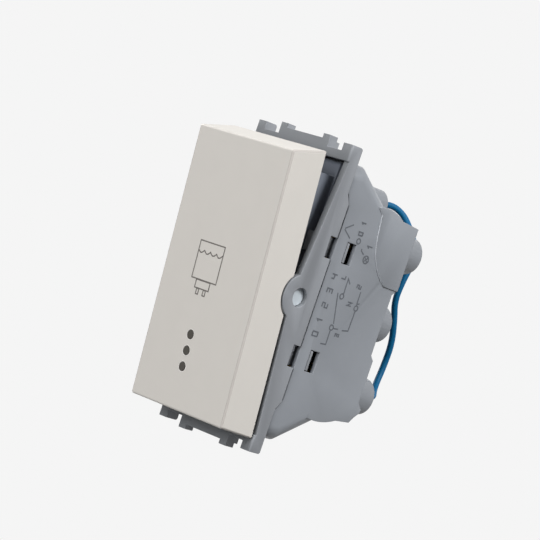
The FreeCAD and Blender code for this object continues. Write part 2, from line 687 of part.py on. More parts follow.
# Inner cover
# A grey box between the key and the contacts. Its flange is held between the housing's rim and
# the ledges of the carrier, its deck lets the post and the light guide through, and the circuit
# board lies against its rear edge.
def make_cover():
    body = new_body("mechanism_cover")
    wide = "cover_half_width"
    high = "cover_half_height"
    box = [rectangle(f"-{wide}", wide, f"-{high}", high)]
    extrude(body, "cover_box", "XZ_Plane", "-cover_front", "cover_back", box)
    side = "(cover_half_width + flange_side)"
    flange = [rectangle(f"-{side}", side, "-flange_half", "flange_half")]
    extrude(body, "cover_flange", "XZ_Plane", "-flange_wall", "0", flange)
    inner = "(cover_half_width - cover_wall)"
    tall = "(cover_half_height - cover_wall)"
    inside = [rectangle(f"-{inner}", inner, f"-{tall}", tall)]
    deck = "-cover_front + cover_wall"
    extrude(body, "cover_hollow", "XZ_Plane", deck, "cover_back + cut_reach", inside, cut=True)
    slot = rectangle("-post_slot_side", "post_slot_side", "-post_slot_high", "post_slot_high")
    guide = rectangle(
        "-dot_side - guide_half_width - slip_gap",
        "-dot_side + guide_half_width + slip_gap",
        "-dot_middle - guide_half_height - slip_gap",
        "-dot_middle + guide_half_height + slip_gap",
    )
    above = "-cover_front - cut_reach"
    below = "-cover_front + cover_wall + cut_reach"
    extrude(body, "deck_holes", "XZ_Plane", above, below, [slot, guide], cut=True)

    def deck_edge(edge):
        middle = edge.CenterOfMass
        outline = near(abs(middle.x), wide) or near(abs(middle.z), high)
        return near(middle.y, "-cover_front") and outline

    round_edges(body, "deck_rounding", "key_edge", deck_edge)
    return body


# Light guide
# A clear block that stands in the cover's deck and carries the lamp's light to the windows.
def make_guide():
    body = new_body("light_guide")
    stem = rectangle(
        "-dot_side - guide_half_width",
        "-dot_side + guide_half_width",
        "-dot_middle - guide_half_height",
        "-dot_middle + guide_half_height",
    )
    deck_rear = "-cover_front + cover_wall"
    extrude(body, "guide_stem", "XZ_Plane", "-guide_front", deck_rear, [stem])
    flange = rectangle(
        "-dot_side - guide_half_width - guide_flange",
        "-dot_side + guide_half_width + guide_flange",
        "-dot_middle - guide_half_height - guide_flange",
        "-dot_middle + guide_half_height + guide_flange",
    )
    extrude(body, "guide_foot", "XZ_Plane", deck_rear, f"{deck_rear} + guide_flange", [flange])
    return body


# Plunger
# A round rod with a thicker head that slides in the key's post and presses on the contact.
def make_plunger():
    body = new_body("plunger")
    head_rear = "post_end - slip_gap"
    head = [("0", "0", "post_bore - running_gap")]
    extrude(body, "plunger_head", "XZ_Plane", f"{head_rear} - plunger_head_length", head_rear, head)
    extrude(body, "plunger_rod_length", "XZ_Plane", head_rear, "plunger_reach", [("0", "0", "plunger_rod")])
    tip = lambda edge: near(edge.CenterOfMass.y, "plunger_reach")
    round_edges(body, "plunger_tip", "plunger_rod / 2", tip, bevel=True)
    hang_on_key(body)
    return body


# Plunger spring
# The coil spring in the post. Nothing shows it, so it is the sleeve that its coils fill.
def make_spring():
    body = new_body("plunger_spring")
    floor = "-key_face + key_plate + post_floor"
    head_front = "post_end - slip_gap - plunger_head_length"
    outside = ("0", "0", "spring_radius")
    inside = ("0", "0", "spring_radius - spring_wall")
    extrude(body, "spring_sleeve", "XZ_Plane", floor, f"{head_front} - spring_play", [outside, inside])
    hang_on_key(body)
    return body


# Rocking contact
# A brass strip that see-saws on the line terminal's ridge. Two cheeks keep the plunger on it.
def place_on_contact(body):
    """Puts a piece that is drawn about the ridge's axis where the leaning contact holds it."""
    body.Placement.Rotation = FreeCAD.Rotation(ACROSS, -value("contact_tilt"))
    body.setExpression("Placement.Base.y", bound("contact_pivot"))
    body.setExpression("Placement.Rotation.Angle", bound("-contact_tilt"))


def make_contact():
    body = new_body("rocking_contact")
    wide = "contact_half_width"
    strip = [rectangle(f"-{wide}", wide, "-contact_half_length", "contact_half_length")]
    extrude(body, "contact_strip", "XZ_Plane", "-contact_lift - strip_metal", "-contact_lift", strip)
    front = "-contact_lift - strip_metal"
    cheeks = [
        rectangle(f"{wide} - cheek_wall", wide, "-cheek_half_length", "cheek_half_length"),
        rectangle(f"-{wide}", f"-{wide} + cheek_wall", "-cheek_half_length", "cheek_half_length"),
    ]
    extrude(body, "contact_cheeks", "XZ_Plane", f"{front} - cheek_height", f"{front} + slip_gap", cheeks)
    hole = [("0", "rivet_place", "rivet_shank")]
    extrude(body, "contact_hole", "XZ_Plane", f"{front} - cut_reach", "cut_reach", hole, cut=True)
    place_on_contact(body)
    return body


# Contact rivets
# Silver rivets: the moving one is set in the contact's upper arm, the fixed one in the load terminal.
def make_moving_rivet():
    body = new_body("moving_contact_rivet")
    front = "-contact_lift - strip_metal"
    shank = [("0", "rivet_place", "rivet_shank")]
    head = [("0", "rivet_place", "rivet_radius")]
    extrude(body, "moving_shank", "XZ_Plane", front, "-contact_lift", shank)
    extrude(body, "moving_head", "XZ_Plane", "-contact_lift", "-contact_lift + rivet_height", head)
    place_on_contact(body)
    return body


def fixed_rivet_front():
    """Where the fixed rivet's face lies: just behind the moving rivet when the contact is closed."""
    lean = "(rivet_place + rivet_radius) * sin(contact_tilt * 1deg)"
    face = "(rivet_height - contact_lift) * cos(contact_tilt * 1deg)"
    return f"contact_pivot + {lean} + {face} + contact_rest_gap"


def make_fixed_rivet():
    body = new_body("fixed_contact_rivet")
    front = fixed_rivet_front()
    head = [("0", "rivet_place", "rivet_radius")]
    extrude(body, "fixed_head", "XZ_Plane", front, f"{front} + rivet_height", head)
    return body


# Terminals
# Each is bent from brass strip: a front plate that the screw's tip passes, and an outer wall
# against which the clamp shoe squeezes the wire.
def terminal_plate(body, name, height):
    outer = "(collar_place + collar_bore + slip_gap + strip_metal)"
    rear = "rear_depth - rear_wall - seat_gap"
    low = f"{height} - cage_half"
    high = f"{height} + cage_half"
    plate = rectangle("-board_left", outer, low, high)
    passage = ("-well_place", height, "screw_radius + well_gap")
    extrude(body, f"{name}_plate", "XZ_Plane", "cage_front", "cage_front + strip_metal", [plate, passage])
    wall = rectangle(f"{outer} - strip_metal", outer, low, high)
    extrude(body, f"{name}_wall", "XZ_Plane", "cage_front", rear, [wall])
    return body


def make_load_terminal():
    body = new_body("load_terminal")
    terminal_plate(body, "load", "row_pitch")
    arm_front = f"({fixed_rivet_front()} + rivet_height)"
    arm_low = "rivet_place - rivet_radius - slip_gap"
    arm = [
        ("cage_front", "row_pitch - cage_half + strip_metal"),
        ("cage_front", "row_pitch - cage_half"),
        (arm_front, "row_pitch - cage_half"),
        (arm_front, arm_low),
        (f"{arm_front} + strip_metal", arm_low),
        (f"{arm_front} + strip_metal", "row_pitch - cage_half + strip_metal"),
    ]
    extrude(body, "load_arm", "YZ_Plane", "-contact_half_width", "contact_half_width", [arm])
    return body


def make_line_terminal():
    body = new_body("line_terminal")
    terminal_plate(body, "line", "0")
    ridge = [
        ("contact_pivot", "ridge_radius"),
        ("contact_pivot", "-ridge_radius"),
        ("cage_front + slip_gap", "-ridge_half"),
        ("cage_front + slip_gap", "ridge_half"),
    ]
    wide = "contact_half_width"
    extrude(body, "ridge", "YZ_Plane", f"-{wide}", wide, [ridge])
    extrude(body, "ridge_crown", "YZ_Plane", f"-{wide}", wide, [("contact_pivot", "0", "ridge_radius")])
    return body


def make_neutral_terminal():
    body = new_body("neutral_terminal")
    return terminal_plate(body, "neutral", "-row_pitch")


# Clamp shoes
# A steel shoe on each screw. Turning the screw draws it rearward, and its slanted nose wedges the
# wire in the entry beside it against the terminal's outer wall. The load and line shoes are shown
# open, without wires, and the neutral shoe is shown tightened on the lead's end sleeve.
def shoe_front(name):
    front = "cage_front + strip_metal + slip_gap"
    return f"({front} + shoe_stroke)" if name == "neutral" else f"({front})"


def make_shoe(name, height):
    body = new_body(f"{name}_clamp_shoe")
    front = shoe_front(name)
    left = "-(board_left - leaf_wall - 2 * seat_gap)"
    plate = [
        (left, front),
        ("shoe_reach", front),
        ("shoe_reach - shoe_taper", f"{front} + shoe_depth"),
        (left, f"{front} + shoe_depth"),
    ]
    ends = (f"{height} - shoe_half", f"{height} + shoe_half")
    extrude(body, f"{name}_shoe_plate", "XY_Plane", *ends, [plate])
    thread = [("-well_place", height, "screw_radius + running_gap")]
    start = f"{front} - cut_reach"
    end = f"{front} + shoe_depth + cut_reach"
    extrude(body, f"{name}_shoe_thread", "XZ_Plane", start, end, thread, cut=True)
    return body


# Terminal screws
# Captive steel screws, turned from behind: a pan head with a cross slot, and a plain shank that
# stands for the thread.
def make_screw(name, height):
    body = new_body(f"{name}_terminal_screw")
    seat = "rear_depth + slip_gap"
    top = f"{seat} + screw_head_height"
    extrude(body, f"{name}_shank", "XZ_Plane", "screw_tip", seat, [("-well_place", height, "screw_radius")])
    extrude(body, f"{name}_head", "XZ_Plane", seat, top, [("-well_place", height, "screw_head")])
    crown = lambda edge: near(edge.CenterOfMass.y, top)
    round_edges(body, f"{name}_crown", "key_edge", crown, bevel=True)
    arm = "screw_head - key_edge"
    wide = "slot_width / 2"
    cross = [
        (f"-well_place - {wide}", f"{height} - {arm}"),
        (f"-well_place + {wide}", f"{height} - {arm}"),
        (f"-well_place + {wide}", f"{height} - {wide}"),
        (f"-well_place + {arm}", f"{height} - {wide}"),
        (f"-well_place + {arm}", f"{height} + {wide}"),
        (f"-well_place + {wide}", f"{height} + {wide}"),
        (f"-well_place + {wide}", f"{height} + {arm}"),
        (f"-well_place - {wide}", f"{height} + {arm}"),
        (f"-well_place - {wide}", f"{height} + {wide}"),
        (f"-well_place - {arm}", f"{height} + {wide}"),
        (f"-well_place - {arm}", f"{height} - {wide}"),
        (f"-well_place - {wide}", f"{height} - {wide}"),
    ]
    floor = f"{top} - slot_depth"
    extrude(body, f"{name}_slot", "XZ_Plane", floor, f"{top} + cut_reach", [cross], cut=True)
    return body


# Indicator circuit
# A narrow board behind the cover carries the lamp and its resistor. A bronze leaf joins it to the
# load terminal, and the blue lead joins its top to the neutral terminal.
def board_front():
    return "cover_back + slip_gap"


def make_board():
    body = new_body("lamp_board")
    outline = [
        ("-board_left", "-board_bottom"),
        ("board_foot_right", "-board_bottom"),
        ("board_foot_right", "-board_step"),
        ("-board_right", "-board_step"),
        ("-board_right", "board_top"),
        ("-board_left", "board_top"),
    ]
    extrude(body, "board_plate", "XZ_Plane", board_front(), f"{board_front()} + board_wall", [outline])
    return body


def make_lamp():
    body = new_body("indicator_lamp")
    front = f"{board_front()} - lamp_length"
    foot = [("-dot_side", "-dot_middle", "lamp_radius + lamp_rim")]
    glass = [("-dot_side", "-dot_middle", "lamp_radius")]
    extrude(body, "lamp_foot", "XZ_Plane", f"{board_front()} - lamp_rim * 2", board_front(), foot)
    extrude(body, "lamp_glass", "XZ_Plane", front, f"{board_front()} - lamp_rim", glass)
    dome = lambda edge: near(edge.CenterOfMass.y, front)
    round_edges(body, "lamp_dome", "lamp_radius / 2", dome, bevel=True)
    return body


def make_resistor():
    body = new_body("series_resistor")
    across = "-(board_left + board_right) / 2"
    back = f"({board_front()} - resistor_radius - slip_gap)"
    half = "resistor_half"
    reach = "(resistor_half + 3 * resistor_wire)"
    low = f"resistor_middle - {half}"
    rod = (across, back, "resistor_radius")
    extrude(body, "resistor_body", "XY_Plane", low, f"resistor_middle + {half}", [rod])
    ends = (f"resistor_middle - {reach}", f"resistor_middle + {reach}")
    extrude(body, "resistor_axis", "XY_Plane", *ends, [(across, back, "resistor_wire")])
    legs = [
        (across, f"({end}) + {side} * resistor_wire", "resistor_wire")
        for side, end in zip((1, -1), ends)
    ]
    extrude(body, "resistor_legs", "XZ_Plane", back, board_front(), legs)
    return body


def make_leaf():
    body = new_body("lamp_contact_leaf")
    left = "-board_left + seat_gap"
    low = "row_pitch - leaf_width / 2"
    leaf = [rectangle(left, f"{left} + leaf_wall", low, f"{low} + leaf_width")]
    extrude(body, "leaf_strip", "XZ_Plane", f"{board_front()} + board_wall", "cage_front", leaf)
    return body


# Neutral lead
# One thin blue lead. Its inner run lies in the outlet barrel, its free run arches round behind the
# barrels, and its end sleeve lies in the neutral terminal.
LEAD_ROUTE = [
    (-4.9, 23.68, 18.72),
    (-4.4, 26.4, 19.9),
    (-3.1, 28.95, 19.0),
    (-1.0, 29.9, 16.5),
    (1.75, 29.15, 14.1),
    (3.3, 28.05, 11.6),
    (3.55, 26.9, 8.2),
    (3.45, 26.65, 4.6),
    (3.4, 28.25, 1.35),
    (3.4, 29.5, -2.5),
    (3.0, 29.8, -6.6),
    (4.0, 28.2, -10.45),
    (6.95, 25.7, -12.2),
]
ARC_SHARE = 0.45


def tube_along(route, diameter):
    """Solid tube through straight runs joined by tangent arcs, as large as the runs allow."""
    points = [FreeCAD.Vector(*place) for place in route]
    edges = []
    last = points[0]
    radii = []
    for index in range(1, len(points) - 1):
        before = points[index - 1] - points[index]
        after = points[index + 1] - points[index]
        cut = ARC_SHARE * min(before.Length, after.Length)
        turn = math.pi - before.getAngle(after)
        radius = cut / math.tan(turn / 2)
        radii.append(radius)
        enter = points[index] + FreeCAD.Vector(before).normalize() * cut
        leave = points[index] + FreeCAD.Vector(after).normalize() * cut
        inward = (FreeCAD.Vector(before).normalize() + FreeCAD.Vector(after).normalize()).normalize()
        centre = points[index] + inward * math.hypot(cut, radius)
        crown = centre - inward * radius
        edges.append(Part.LineSegment(last, enter).toShape())
        edges.append(Part.Arc(enter, crown, leave).toShape())
        last = leave
    edges.append(Part.LineSegment(last, points[-1]).toShape())
    path = Part.Wire(edges)
    ring = Part.Circle(points[0], points[1] - points[0], diameter / 2).toShape()
    tube = path.makePipeShell([Part.Wire(ring)], True, False)
    expected = math.pi * diameter ** 2 / 4 * path.Length
    print("lead length", round(path.Length, 2), "radii", [round(radius, 1) for radius in radii])
    print("lead volume", round(tube.Volume, 2), "expected", round(expected, 2))
    return tube


def make_lead():
    lead = doc.addObject("Part::Feature", "indicator_lead")
    lead.Label = "indicator_lead"
    mouth = value("barrel_end - lead_inset")
    start = (-value("well_place"), mouth, value("gland_height"))
    end = (value("collar_place + collar_bore - ferrule_collar"), mouth, -value("row_pitch"))
    route = [start, *LEAD_ROUTE, end]
    lead.Shape = tube_along(route, value("lead_diameter"))
    return lead


def make_lead_inner_run():
    body = new_body("lead_inner_run")
    start = f"{board_front()} + board_wall"
    round_lead = [("-well_place", "gland_height", "lead_diameter / 2")]
    extrude(body, "inner_run", "XZ_Plane", start, "barrel_end - lead_inset", round_lead)
    return body


def make_ferrule():
    body = new_body("lead_end_sleeve")
    across = "collar_place + collar_bore - ferrule_collar"
    mouth = "barrel_end - lead_inset"
    neck = "rear_depth"
    place = (across, "-row_pitch")
    tip = "cage_front + strip_metal + shoe_depth"
    extrude(body, "sleeve_pin", "XZ_Plane", tip, neck, [(*place, "ferrule_radius")])
    extrude(body, "sleeve_collar", "XZ_Plane", neck, mouth, [(*place, "ferrule_collar")])
    return body


def build():
    make_key()
    make_windows()
    make_carrier()
    make_housing()
    make_cover()
    make_guide()
    make_plunger()
    make_spring()
    make_contact()
    make_moving_rivet()
    make_fixed_rivet()
    make_load_terminal()
    make_line_terminal()
    make_neutral_terminal()
    for name, height in rows():
        make_shoe(name, height)
        make_screw(name, height)
    make_board()
    make_lamp()
    make_resistor()
    make_leaf()
    make_lead()
    make_lead_inner_run()
    make_ferrule()


def sub_parts():
    """Every piece of the switch: the bodies and the lead."""
    return [item for item in doc.Objects if item.TypeId in ("PartDesign::Body", "Part::Feature")]


def check():
    for item in doc.Objects:
        if "Invalid" in item.State or "Error" in item.State:
            raise RuntimeError(f"{item.Name} failed: {item.State}")
    for item in sub_parts():
        shape = item.Shape
        if shape.isNull() or not shape.isValid() or not shape.Solids:
            raise RuntimeError(f"{item.Label} has no sound solid")
        if len(shape.Solids) != 1:
            raise RuntimeError(f"{item.Label} has {len(shape.Solids)} solids")


def export():
    os.makedirs("parts", exist_ok=True)
    for item in sub_parts():
        item.Shape.exportStep(f"parts/{item.Label}.step")
        print(item.Label, round(item.Shape.Volume, 1))


build()
doc.recompute()
check()
export()
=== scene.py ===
import bmesh
import bpy
import math
import numpy as np
from mathutils import Matrix, Vector


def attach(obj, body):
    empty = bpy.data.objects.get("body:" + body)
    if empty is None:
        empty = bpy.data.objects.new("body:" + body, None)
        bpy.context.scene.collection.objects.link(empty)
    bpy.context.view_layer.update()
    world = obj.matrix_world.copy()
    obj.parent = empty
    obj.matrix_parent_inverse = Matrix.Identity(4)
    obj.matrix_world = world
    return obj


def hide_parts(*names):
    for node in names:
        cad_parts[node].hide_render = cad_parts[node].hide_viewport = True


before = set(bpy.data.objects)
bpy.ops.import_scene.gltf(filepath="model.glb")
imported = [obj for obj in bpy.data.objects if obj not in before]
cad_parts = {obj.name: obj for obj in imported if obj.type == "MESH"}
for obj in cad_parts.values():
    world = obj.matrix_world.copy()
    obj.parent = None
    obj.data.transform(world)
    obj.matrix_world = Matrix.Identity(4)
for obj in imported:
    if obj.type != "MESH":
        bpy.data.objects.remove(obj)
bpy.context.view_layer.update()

# Camera
# The switch is seen from its front right, level with its middle, through a long lens. The camera
# is rolled, so that the switch leans to the left in the picture.
MM = 0.001
CAMERA_PLACE = Vector((298.59, -292.51, 1.20)) * MM
CAMERA_RIGHT = Vector((0.6633, 0.6753, 0.3225))
CAMERA_UP = Vector((-0.2234, -0.2327, 0.9465))
LENS = 172.9
SENSOR = 36.0

camera_data = bpy.data.cameras.new("camera")
camera_data.lens = LENS
camera_data.sensor_width = SENSOR
camera = bpy.data.objects.new("camera", camera_data)
bpy.context.scene.collection.objects.link(camera)
backwards = CAMERA_RIGHT.cross(CAMERA_UP).normalized()
upwards = backwards.cross(CAMERA_RIGHT).normalized()
turn = Matrix((CAMERA_RIGHT.normalized(), upwards, backwards)).transposed()
camera.matrix_world = Matrix.Translation(CAMERA_PLACE) @ turn.to_4x4()
bpy.context.scene.camera = camera

# Neutral lead
# One thin lead in blue insulation. It leaves the outlet at the top left of the housing, crosses
# behind the wire entries and goes into the lowest of them, where its end sleeve is clamped.
FINE_DETAIL = 3.0
BROAD_SCALE = 260.0
BROAD_DETAIL = 2.0


def moulded_grain():
    """Node group: fine noise on a piece's own coordinates as a height, and broad noise as a shade
    from 0 to 1."""
    group = bpy.data.node_groups.new("moulded_grain", "ShaderNodeTree")
    sockets = group.interface
    size = sockets.new_socket("Grain Size", in_out="INPUT", socket_type="NodeSocketFloat")
    size.default_value = 1.0
    sockets.new_socket("Height", in_out="OUTPUT", socket_type="NodeSocketFloat")
    sockets.new_socket("Shade", in_out="OUTPUT", socket_type="NodeSocketFloat")
    nodes, links = group.nodes, group.links
    inside = nodes.new("NodeGroupInput")
    outside = nodes.new("NodeGroupOutput")
    place = nodes.new("ShaderNodeTexCoord")
    fine = nodes.new("ShaderNodeTexNoise")
    fine.inputs["Detail"].default_value = FINE_DETAIL
    broad = nodes.new("ShaderNodeTexNoise")
    broad.inputs["Scale"].default_value = BROAD_SCALE
    broad.inputs["Detail"].default_value = BROAD_DETAIL
    links.new(place.outputs["Object"], fine.inputs["Vector"])
    links.new(place.outputs["Object"], broad.inputs["Vector"])
    links.new(inside.outputs["Grain Size"], fine.inputs["Scale"])
    links.new(fine.outputs["Fac"], outside.inputs["Height"])
    links.new(broad.outputs["Fac"], outside.inputs["Shade"])
    return group


GRAIN = moulded_grain()
GRAIN_HEIGHT = 0.05 * MM
SHADE_HALF = 0.2
EDGE_ROUND = 0.16 * MM
EDGE_SAMPLES = 8
PLAIN_GLOSS = 0.5


def finish(
    name,
    colour,
    roughness,
    grain=4000.0,
    depth=0.02,
    spread=0.02,
    metallic=0.0,
    gloss=PLAIN_GLOSS,
    edge=EDGE_ROUND,
):
    """Material: a colour that varies by a small spread, with fine grain that lifts its surface and
    edges that look rounded by a small radius."""
    material = bpy.data.materials.new(name)
    material.use_nodes = True
    nodes, links = material.node_tree.nodes, material.node_tree.links
    shader = nodes["Principled BSDF"]
    shader.inputs["Roughness"].default_value = roughness
    shader.inputs["Metallic"].default_value = metallic
    shader.inputs["Specular IOR Level"].default_value = gloss
    grains = nodes.new("ShaderNodeGroup")
    grains.node_tree = GRAIN
    grains.inputs["Grain Size"].default_value = grain
    ramp = nodes.new("ShaderNodeValToRGB")
    for stop, side in zip(ramp.color_ramp.elements, (-1, 1)):
        stop.position = 0.5 + SHADE_HALF * side
        stop.color = (*[part * (1 + spread * side) for part in colour], 1.0)
    links.new(grains.outputs["Shade"], ramp.inputs["Fac"])
    links.new(ramp.outputs["Color"], shader.inputs["Base Color"])
    bump = nodes.new("ShaderNodeBump")
    bump.inputs["Strength"].default_value = depth
    bump.inputs["Distance"].default_value = GRAIN_HEIGHT
    links.new(grains.outputs["Height"], bump.inputs["Height"])
    links.new(bump.outputs["Normal"], shader.inputs["Normal"])
    edges = nodes.new("ShaderNodeBevel")
    edges.samples = EDGE_SAMPLES
    edges.inputs["Radius"].default_value = edge
    links.new(edges.outputs["Normal"], bump.inputs["Normal"])
    return material


def shade(*parts):
    """Linear colour from a colour as it is written, each part from 0 to 255: a straight run near
    black, and the power 2.4 above it."""
    written = [part / 255 for part in parts]
    return [
        part / 12.92 if part < 0.04045 else ((part + 0.055) / 1.055) ** 2.4 for part in written
    ]


def paint(node, material):
    """Gives a CAD node its material."""
    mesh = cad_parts[node].data
    mesh.materials.clear()
    mesh.materials.append(material)


LEAD_DIAMETER = 1.1 * MM
LEAD_START = (-4.9, 22.05, 18.7)
LEAD_END = (7.05, 22.05, -12.25)
# Points that pull the lead from its outlet to the wire entry, in mm.
LEAD_ROUTE = [
    LEAD_START,
    (-4.9, 23.68, 18.72),
    (-4.4, 26.4, 19.9),
    (-3.1, 28.95, 19.0),
    (-1.0, 29.9, 16.5),
    (1.75, 29.15, 14.1),
    (3.3, 28.05, 11.6),
    (3.55, 26.9, 8.2),
    (3.45, 26.65, 4.6),
    (3.4, 28.25, 1.35),
    (3.4, 29.5, -2.5),
    (3.0, 29.8, -6.6),
    (4.0, 28.2, -10.45),
    (6.95, 25.7, -12.2),
    LEAD_END,
]
LEAD_ROUND_STEPS = 6
LEAD_RUN_STEPS = 12
LEAD_SPLINE_ORDER = 3
LEAD_GLOSS = 0.2
blue_insulation = finish(
    "blue_insulation", shade(0, 94, 138), 0.5, grain=900.0, depth=0.1, gloss=LEAD_GLOSS
)

lead_curve = bpy.data.curves.new("neutral_lead", "CURVE")
lead_curve.dimensions = "3D"
lead_curve.bevel_depth = LEAD_DIAMETER / 2
lead_curve.bevel_resolution = LEAD_ROUND_STEPS
lead_curve.resolution_u = LEAD_RUN_STEPS
lead_curve.use_fill_caps = True
spline = lead_curve.splines.new("NURBS")
spline.points.add(len(LEAD_ROUTE) - 1)
for point, place in zip(spline.points, LEAD_ROUTE):
    point.co = (*(part * MM for part in place), 1.0)
spline.order_u = LEAD_SPLINE_ORDER
spline.use_endpoint_u = True
lead_curve.materials.append(blue_insulation)
lead = bpy.data.objects.new("neutral_lead", lead_curve)
bpy.context.scene.collection.objects.link(lead)
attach(lead, "module")
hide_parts("indicator_lead")
paint("lead_inner_run", blue_insulation)
tinned = finish("tinned_sleeve", shade(190, 190, 192), 0.35, grain=1500.0, metallic=1.0)
paint("lead_end_sleeve", tinned)

# Rear housing
# A moulded shell in mid grey plastic, with a fine matt skin and edges slightly rounded by the
# mould. The low step round its side panels is smoother, and painted lighter as a painted highlight.
MERGE_REACH = 0.0005 * MM
FLAT_WITHIN = math.radians(0.6)
ROUND_BEYOND = math.radians(35)
ROUND_SEGMENTS = 2


def softened(node, body, material, width):
    """Copy of a CAD node: its loose triangles are merged into faces, and its sharp edges get a
    small round of the width given."""
    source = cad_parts[node]
    mesh = source.data.copy()
    mesh.name = node + "_moulded"
    work = bmesh.new()
    work.from_mesh(mesh)
    bmesh.ops.remove_doubles(work, verts=work.verts, dist=MERGE_REACH)
    bmesh.ops.dissolve_limit(work, angle_limit=FLAT_WITHIN, verts=work.verts, edges=work.edges)
    work.to_mesh(mesh)
    work.free()
    mesh.materials.clear()
    mesh.materials.append(material)
    mesh.shade_smooth()
    piece = bpy.data.objects.new(mesh.name, mesh)
    bpy.context.scene.collection.objects.link(piece)
    rounding = piece.modifiers.new("mould_round", "BEVEL")
    rounding.width = width
    rounding.segments = ROUND_SEGMENTS
    rounding.limit_method = "ANGLE"
    rounding.angle_limit = ROUND_BEYOND
    rounding.harden_normals = True
    rounding.use_clamp_overlap = True
    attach(piece, body)
    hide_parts(node)
    return piece


def of_faces(mesh, what):
    """Three numbers for each face of a mesh, such as its middle or its normal, as rows."""
    rows = np.empty(len(mesh.polygons) * 3)
    mesh.polygons.foreach_get(what, rows)
    return rows.reshape(-1, 3)


HOUSING_ROUND = 0.09 * MM
PANEL_STEP = (11.02 * MM, 11.18 * MM)
PANEL_STEP_SLANT = 0.3
GREY_GRAIN = 5200.0
GREY_DEPTH = 0.12
housing_grey = finish(
    "housing_grey", shade(134, 138, 144), 0.46, grain=GREY_GRAIN, depth=GREY_DEPTH
)
# Painted highlight: the faces of the panel step get a light grey, a light line along its edge.
step_painted_highlight = finish("step_painted_highlight", shade(196, 200, 206), 0.4, grain=GREY_GRAIN, depth=GREY_DEPTH)
housing = softened("rear_housing", "module", housing_grey, HOUSING_ROUND)
housing.data.materials.append(step_painted_highlight)
reach = np.abs(of_faces(housing.data, "center")[:, 0])
slant = np.abs(of_faces(housing.data, "normal")[:, 0])
on_step_highlight = (reach > PANEL_STEP[0]) & (reach < PANEL_STEP[1]) & (slant < PANEL_STEP_SLANT)
housing.data.polygons.foreach_set("material_index", on_step_highlight.astype(np.int32))

# Terminals
# Strips of brass bent to shape, each with a cage for its wire. A steel shoe clamps the wire when
# its zinc-plated steel screw is turned by its cross slot.
METAL_DEPTH = 0.1
terminal_brass = finish(
    "terminal_brass", shade(205, 170, 98), 0.3, grain=700.0, depth=METAL_DEPTH, metallic=1.0
)
plated_steel = finish(
    "plated_steel", shade(176, 178, 180), 0.32, grain=900.0, depth=METAL_DEPTH, metallic=1.0
)
for name in ("load", "line", "neutral"):
    paint(f"{name}_terminal", terminal_brass)
    paint(f"{name}_clamp_shoe", plated_steel)
    paint(f"{name}_terminal_screw", plated_steel)

# Contacts
# A brass strip that rocks on the line terminal. A silver rivet in it meets a like rivet in the
# load terminal.
contact_silver = finish("contact_silver", shade(222, 222, 218), 0.25, grain=1200.0, metallic=1.0)
paint("rocking_contact", terminal_brass)
paint("moving_contact_rivet", contact_silver)
paint("fixed_contact_rivet", contact_silver)

# Indicator circuit
# A green board that carries a small neon lamp and a resistor with bent wires. A brass leaf joins
# it to the load terminal, and the blue lead to the neutral one.
board_green = finish("board_green", shade(52, 110, 72), 0.4, grain=600.0, depth=0.1, spread=0.06)
lamp_glass = finish("lamp_glass", shade(240, 214, 170), 0.08, grain=500.0, depth=0.02)
resistor_paint = finish("resistor_paint", shade(205, 186, 150), 0.45, grain=900.0, depth=0.1)
paint("lamp_board", board_green)
paint("indicator_lamp", lamp_glass)
paint("series_resistor", resistor_paint)
paint("lamp_contact_leaf", terminal_brass)

# Inner cover and light guide
# The cover is moulded in grey plastic, painted darker as painted shade, and held back by the
# carrier's ledges. The guide is a clear moulded block that brings the lamp's light to the windows.
COVER_ROUND = 0.08 * MM
GUIDE_CLEARNESS = 0.9
# Painted shade: the cover's grey is darker than the housing's, for the shadow of the key.
cover_painted_shade = finish("cover_painted_shade", shade(106, 112, 123), 0.5, grain=GREY_GRAIN, depth=GREY_DEPTH)
softened("mechanism_cover", "module", cover_painted_shade, COVER_ROUND)
guide_clear = finish("guide_clear", shade(236, 240, 242), 0.06, grain=800.0, depth=0.01)
guide_shader = guide_clear.node_tree.nodes["Principled BSDF"]
guide_shader.inputs["Transmission Weight"].default_value = GUIDE_CLEARNESS
paint("light_guide", guide_clear)

# Carrier
# The front ring, moulded in the housing's grey, with clip posts at its ends, an ear on each side
# and tongues that latch into the housing. Its faces that look to the front are rougher, and painted
# darker as painted shade.
CARRIER_ROUND = 0.09 * MM
carrier_grey = finish(
    "carrier_grey", shade(133, 136, 141), 0.46, grain=GREY_GRAIN, depth=GREY_DEPTH
)
FRONT_SLANT = -0.8
FRONT_DEPTH = 0.16
# Painted shade: faces that look to the front get a darker grey than the carrier's sides.
front_painted_shade = finish("front_painted_shade", shade(119, 122, 126), 0.6, grain=GREY_GRAIN, depth=FRONT_DEPTH)
carrier = softened("carrier_frame", "module", carrier_grey, CARRIER_ROUND)
carrier.data.materials.append(front_painted_shade)
on_shaded_front = of_faces(carrier.data, "normal")[:, 1] < FRONT_SLANT
carrier.data.polygons.foreach_set("material_index", on_shaded_front.astype(np.int32))

# Key
# White satin plastic, hung by two pins in the carrier's ears. The pins' ends are painted a cooler,
# bluish white as painted shade and reflection, and the rounds along the face's long edges are
# painted darker as painted shade. Its plunger and spring stay inside.
KEY_PIVOT = Vector((0, -2.75, 0)) * MM
KEY_EDGE = 0.07 * MM
PIN_REACH = 1.6 * MM
PIN_START = 8.0 * MM
EDGE_START = 10.6 * MM
EDGE_SLANT = (0.15, 0.98)
WHITE_GRAIN = 3600.0
WHITE_SPREAD = 0.008
key_white = finish(
    "key_white",
    shade(209, 205, 199),
    0.42,
    grain=WHITE_GRAIN,
    depth=0.06,
    spread=WHITE_SPREAD,
    edge=KEY_EDGE,
)
# Painted shade and reflection: the pins' ends get a cooler, darker white with a bluish cast.
pin_painted_shade = finish(
    "pin_painted_shade", shade(196, 204, 210), 0.35, grain=WHITE_GRAIN, depth=0.04, spread=WHITE_SPREAD
)
